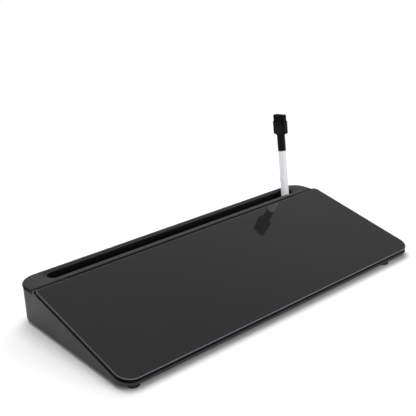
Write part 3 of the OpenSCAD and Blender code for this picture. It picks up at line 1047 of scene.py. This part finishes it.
@dataclass
class GlassLid(Assembly):
    """The glass with its ground edge, the sheet behind it, its brackets, pins and bumpers."""

    half_width: float = 203.0 * MM
    length: float = 152.39 * MM
    thick: float = 3.0 * MM
    front_r: float = 16.0 * MM
    rear_r: float = 3.0 * MM
    corner_steps: int = 20
    bevel: float = 0.5 * MM
    bevel_steps: int = 4
    arris: float = 0.2 * MM
    side_tone: Colour = (0.004, 0.004, 0.005, 1)

    def build(self) -> None:
        """Makes the glass and dresses what it carries."""
        self._glass()
        sheet = MouldedPlastic("sheet_coating", level=0.009, rough=0.5, grain=1800.0, wear=0.3, shine=0.3)
        self.dress(sheet, "steel_sheet")
        # Black plastic, darkened further as painted shade where the brackets fill the gap at the glass's rear
        # edge.
        bracket = MouldedPlastic("bracket_plastic", level=0.006, grain=3400.0, rough=0.5, shine=0.15)
        self.dress(bracket, "left_hinge_bracket", "right_hinge_bracket")
        self.dress(Metal("pin_steel", level=0.07, rough=0.4), "left_hinge_pin", "right_hinge_pin")
        self.dress(ClearGel("bumper_gel"), "left_bumper", "right_bumper")

    def _glass(self) -> None:
        """Makes the glass, with the side and the arris as finishes of their own."""
        plan = Plan(self.half_width, -self.length, 0.0, self.front_r, self.rear_r, self.corner_steps)
        bend = [(inset, -down) for inset, down in quarter(self.bevel, self.bevel_steps)]
        levels = [(self.bevel, -self.thick), (0.0, self.bevel - self.thick)] + bend
        levels.append((self.bevel + self.arris, 0.0))
        maker = MeshMaker(self.layout.slope())
        rings = [maker.ring(plan.ring(inset), z) for inset, z in levels]
        maker.block(rings)
        glass = maker.done("lid_glass_panel", BlackGlass("lid_glass").material(), sharp=40.0)
        dull = GroundEdge("glass_side", self.side_tone, self.side_tone, worn=0.04, shine=0.04)
        # The arris's light colours are a painted highlight; the side face stays near black.
        for finish in (GroundEdge("glass_arris_painted_highlight"), dull):
            glass.data.materials.append(finish.material())
        arris, side, around = 1, 2, len(rings[0])
        for face in glass.data.polygons[: (len(rings) - 1) * around]:
            face.material_index = side if face.index < 2 * around else arris
        self.keep(glass, "lid", "lid_glass", "glass_panel")


@dataclass
class Marker(Assembly):
    """The marker and its cap with the felt eraser."""

    length: float = 54.5 * MM
    neck: float = 20.4 * MM
    neck_r: float = 5.1 * MM
    soft: float = 0.3 * MM
    cavities: tuple[Point, ...] = ((4.25 * MM, 7.0 * MM), (3.6 * MM, 16.5 * MM))
    holder: Place = (8.5 * MM, 18.0 * MM, 17.5 * MM)
    holder_r: float = 2.0 * MM
    holder_steps: int = 6
    side_points: int = 8
    shoulders: tuple[Shoulder, ...] = ((0.25, 0.4 * MM, 0.3 * MM), (0.75, 0.3 * MM, 1.3 * MM))
    shoulder_r: float = 1.8 * MM
    lip: float = 2.0 * MM
    wall: float = 0.9 * MM
    felt_r: float = 1.1 * MM
    felt_high: float = 8.0 * MM
    felt_sunk: float = 3.0 * MM
    felt_start: float = 0.5 * MM
    felt_straight: float = 7.3 * MM
    felt_round: float = 1.0 * MM
    round_steps: int = 5
    wave_deep: float = 0.06 * MM
    wave_turn: float = 2.1
    wave_steps: int = 5
    turn: float = 7.0

    @property
    def axes(self) -> Matrix:
        """The marker's axes, turned as the holder stands."""
        return self.layout.marker() @ Matrix.Rotation(math.radians(self.turn), 4, "Z")

    @property
    def high(self) -> float:
        """Height of the holder's top along the marker."""
        return self.length + self.neck + self.holder[2]

    def build(self) -> None:
        """Makes the cap and the felt and dresses the marker."""
        white = GlossPlastic("marker_white", level=0.74, warm=-0.02, rough=0.42, shine=0.25)
        self.dress(white, "marker_barrel", "marker_end_plug")
        self.dress(Fibre("ink_fibre", level=0.05, depth=0.1 * MM), "ink_reservoir")
        self.dress(GlossPlastic("nib_plastic", level=0.7, rough=0.4), "nib_holder")
        self.dress(Fibre("nib_felt", hair=4200.0, depth=0.06 * MM), "marker_nib")
        self._cap()
        self._felt()

    def _box(self, inset: float, r: float) -> list[Point]:
        """Rounded rectangle of the eraser's holder, with points along its straight sides.

        Args:
            inset: How far it is drawn in.
            r: Corner radius.

        Returns:
            The points.
        """
        w, d, _ = self.holder
        bends = Plan(w / 2 - inset, inset - d / 2, d / 2 - inset, r, r, self.holder_steps).ring()
        parts = self.side_points + 1
        points: list[Point] = []
        for i, corner in enumerate(bends):
            points.append(corner)
            if i % (self.holder_steps + 1) == self.holder_steps:
                end = bends[(i + 1) % len(bends)]
                points += [between(corner, end, k / parts) for k in range(1, parts)]
        return points

    def _tube(self, r: float) -> list[Point]:
        """Circle whose points stand in step with those round the holder.

        Args:
            r: Its radius.

        Returns:
            The points.
        """
        box = self._box(0, self.holder_r)
        gone = [math.dist(p, q) for p, q in zip(box, box[1:] + box[:1])]
        start = self.holder[1] / 2 - self.holder_r
        turns = [math.pi + math.tau * (start + sum(gone[:i])) / sum(gone) for i in range(len(box))]
        return [(r * math.cos(a), r * math.sin(a)) for a in turns]

    def _cap(self) -> None:
        """Makes the cap: a round neck that swells into the holder of the felt."""
        low, soft, softer = self.length, self.soft, self.soft * HALF_ROUND
        top, high = self.length + self.neck, self.high
        lip, neck = top + self.lip, self._tube(self.neck_r)
        profile = [(self._tube(self.neck_r - soft), low), (neck, low + soft), (neck, top - 0.4 * MM)]
        for share, inset, up in self.shoulders:
            box = self._box(inset, self.shoulder_r)
            profile.append(([between(p, q, share) for p, q in zip(neck, box)], top + up))
        profile += [
            (self._box(0.12 * MM, 1.9 * MM), lip - 0.2 * MM),
            (self._box(0, self.holder_r), lip + soft),
            (self._box(0, self.holder_r), high - soft),
            (self._box(softer, self.holder_r - softer), high - softer),
            (self._box(soft, self.holder_r - soft), high),
            (self._box(self.wall - 0.1 * MM, self.felt_r + 0.05 * MM), high),
            (self._box(self.wall, self.felt_r), high - 0.1 * MM),
            (self._box(self.wall, self.felt_r), high - self.felt_sunk),
        ]
        maker = MeshMaker(self.axes)
        skin = [maker.ring(points, z) for points, z in profile]
        maker.pocket(skin)
        floor = low
        cavity = []
        for r, deep in self.cavities:
            cavity += [maker.ring(self._tube(r), z) for z in (floor, low + deep)]
            floor = low + deep
        maker.pocket(cavity)
        maker.skin([skin[0], cavity[0]])
        finish = GlossPlastic(
            "cap_plastic", level=0.003, rough=0.32, grime=grey(0.04), grime_share=0.1, shine=0.1, coat=0.0
        )
        cap = maker.done("marker_cap_shell", finish.material(), sharp=30.0)
        self.keep(cap, "cap", "cap_plastic", "marker_cap")

    def _felt(self) -> None:
        """Makes the felt with its gently waving sides and its rounded top."""
        high, wall = self.high, self.wall
        profile = [(wall, self.felt_r, high - self.felt_sunk)]
        for k in range(self.wave_steps + 1):
            wave = abs(self.wave_deep * math.sin(k * self.wave_turn))
            up = self.felt_straight * k / self.wave_steps - self.felt_start
            profile.append((wall + wave, self.felt_r, high + up))
        for inset, down in quarter(self.felt_round, self.round_steps)[1:]:
            profile.append((wall + inset, self.felt_r + 0.05 * MM - inset, high + self.felt_high - down))
        maker = MeshMaker(self.axes)
        maker.block([maker.ring(self._box(inset, r), z) for inset, r, z in profile])
        finish = Fibre("eraser_felt", level=0.004, chalk=0.02, shine=0.08, nap=0.015)
        felt = maker.done("felt_pad", finish.material(), sharp=60.0)
        self.keep(felt, "cap", "eraser_felt", "felt_eraser")


@dataclass(frozen=True)
class SoftBox:
    """A square lamp that points at a spot."""

    name: str
    place: Place
    aim: Place
    size: float
    watts: float
    mirrored: bool = False
    spread: float = 180.0

    def build(self) -> None:
        """Makes the lamp."""
        data = bpy.data.lights.new(self.name, "AREA")
        data.shape = "SQUARE"
        data.size = self.size
        data.energy = self.watts
        data.spread = math.radians(self.spread)
        lamp = add_object(self.name, data)
        way = Vector(self.aim) - Vector(self.place)
        lamp.location = self.place
        lamp.rotation_euler = way.to_track_quat("-Z", "Y").to_euler()
        lamp.visible_glossy = self.mirrored
        lamp.visible_camera = False


@dataclass(frozen=True)
class Studio:
    """Floor, surroundings, lamps and camera."""

    sky: float = 0.42
    floor_size: float = 12.0
    floor_level: float = 0.75
    fade: tuple[float, float] = (0.3, 0.7)
    lamps: tuple[SoftBox, ...] = (
        SoftBox("key_right", (1.0, 0.8, 1.0), (0.0, 0.0, 0.03), 0.8, 9.0),
        SoftBox("fill_left", (-1.2, -0.6, 0.8), (0.0, 0.0, 0.03), 1.0, 2.0),
        SoftBox("fill_right", (0.9, -1.2, 0.6), (0.1, 0.0, 0.05), 0.9, 7.0, mirrored=True),
        SoftBox("top_soft", (0.0, 0.5, 1.4), (0.0, 0.0, 0.0), 1.1, 22.0),
        SoftBox("marker_fill", (-0.15, -0.45, 0.35), (0.17, 0.08, 0.045), 0.12, 0.04, spread=24.0),
    )
    eye: Place = (-501.0 * MM, -570.87 * MM, 384.1 * MM)
    azimuth: float = 39.88
    pitch: float = 21.20
    roll: float = -2.24
    focal: float = 768.3
    picture: int = 416
    sensor: float = 36.0
    nearest: float = 0.01

    def build(self) -> None:
        """Sets up everything that isn't the object."""
        self._floor()
        self._world()
        for lamp in self.lamps:
            lamp.build()
        self._camera()

    def _floor(self) -> None:
        """Makes the pale floor, which carries the shadow and turns plain white farther out."""
        bpy.ops.mesh.primitive_plane_add(size=self.floor_size, location=(0, 0, 0))
        floor = bpy.context.object
        floor.name = "studio_floor"
        made = bpy.data.materials.new("studio_floor")
        made.use_nodes = True
        graph = ShaderGraph(made.node_tree)
        here = graph.place()
        base = graph.tint(graph.noise(here, 3.0, 2.0), grey(self.floor_level), grey(self.floor_level * 1.01))
        paper = graph.principled(Base_Color=base, Roughness=0.9, Specular_IOR_Level=0.0)
        white = graph.add("ShaderNodeEmission", inputs={"Color": grey(1.0), "Strength": 1.0})
        far = graph.add("ShaderNodeVectorMath", {"operation": "LENGTH"}, {0: here}, "Value")
        graph.finish(graph.add("ShaderNodeMixShader", inputs={0: far.step(*self.fade), 1: paper, 2: white}))
        floor.data.materials.append(made)

    def _world(self) -> None:
        """White to the camera, and a soft sky to everything else."""
        world = bpy.data.worlds.new("studio")
        bpy.context.scene.world = world
        world.use_nodes = True
        graph = ShaderGraph(world.node_tree)
        path = graph.add("ShaderNodeLightPath", output="Is Camera Ray")
        sky, white = (
            graph.add("ShaderNodeBackground", inputs={"Color": grey(1.0), "Strength": strength})
            for strength in (self.sky, 1.0)
        )
        both = graph.add("ShaderNodeMixShader", inputs={0: path, 1: sky, 2: white})
        graph.finish(both, "ShaderNodeOutputWorld")

    def _camera(self) -> None:
        """Stands the camera where the photograph was taken from."""
        az, pitch, roll = (math.radians(a) for a in (self.azimuth, self.pitch, self.roll))
        ahead = Vector((math.sin(az) * math.cos(pitch), math.cos(az) * math.cos(pitch), -math.sin(pitch)))
        right = Vector((math.cos(az), -math.sin(az), 0.0))
        up = right.cross(ahead)
        side = right * math.cos(roll) + up * math.sin(roll)
        top = up * math.cos(roll) - right * math.sin(roll)
        data = bpy.data.cameras.new("camera")
        data.sensor_width = self.sensor
        data.lens = self.focal / self.picture * self.sensor
        data.clip_start = self.nearest
        data.dof.use_dof = False
        camera = add_object("camera", data)
        rows = [(side[i], top[i], -ahead[i], self.eye[i]) for i in range(3)]
        camera.matrix_world = Matrix((*rows, (0, 0, 0, 1)))
        bpy.context.scene.camera = camera
        bpy.context.scene.view_settings.view_transform = "Standard"


def main() -> None:
    """Builds the object, then the set round it."""
    logging.basicConfig(level=logging.INFO, format="%(name)s: %(message)s")
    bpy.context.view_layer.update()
    layout = Layout()
    for assembly in (TrayBase(layout), RailCover(layout), GlassLid(layout), Marker(layout)):
        LOG.info("building %s", type(assembly).__name__)
        assembly.build()
    Studio().build()
    bpy.context.view_layer.update()


if __name__ == "__main__":
    main()
